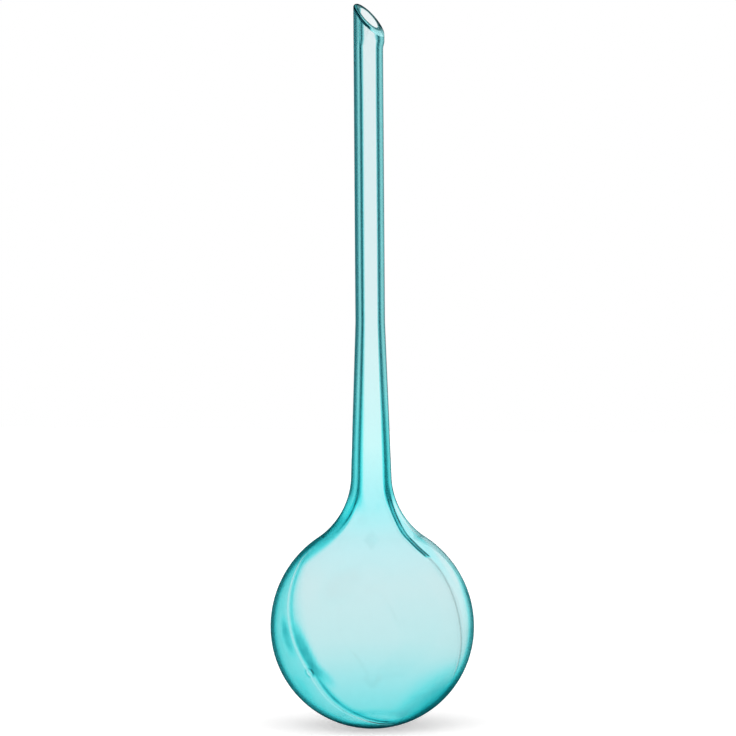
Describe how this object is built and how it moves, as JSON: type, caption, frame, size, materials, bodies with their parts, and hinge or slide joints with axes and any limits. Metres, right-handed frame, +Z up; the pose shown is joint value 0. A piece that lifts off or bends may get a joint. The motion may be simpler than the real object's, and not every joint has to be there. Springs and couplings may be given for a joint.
{
  "type": "watering globe",
  "caption": "Hollow tinted glass watering globe: a round reservoir with a flared neck and a long open stem cut on the slant, pushed into potting soil to feed water slowly.",
  "frame": {"origin": "on the stem's axis at the depth stop, where the straight shank begins to swell towards the neck", "axes": "+Z up the stem to the mouth, with the globe below; +X towards the low side of the slant-cut mouth"},
  "size_m": [0.0758, 0.0758, 0.27],
  "materials": {
    "tinted_glass": "fire-polished transparent turquoise glass"
  },
  "bodies": {
    "root": {"globe": "tinted_glass", "neck": "tinted_glass", "stem": "tinted_glass", "mouth_tip": "tinted_glass"}
  },
  "joints": []
}
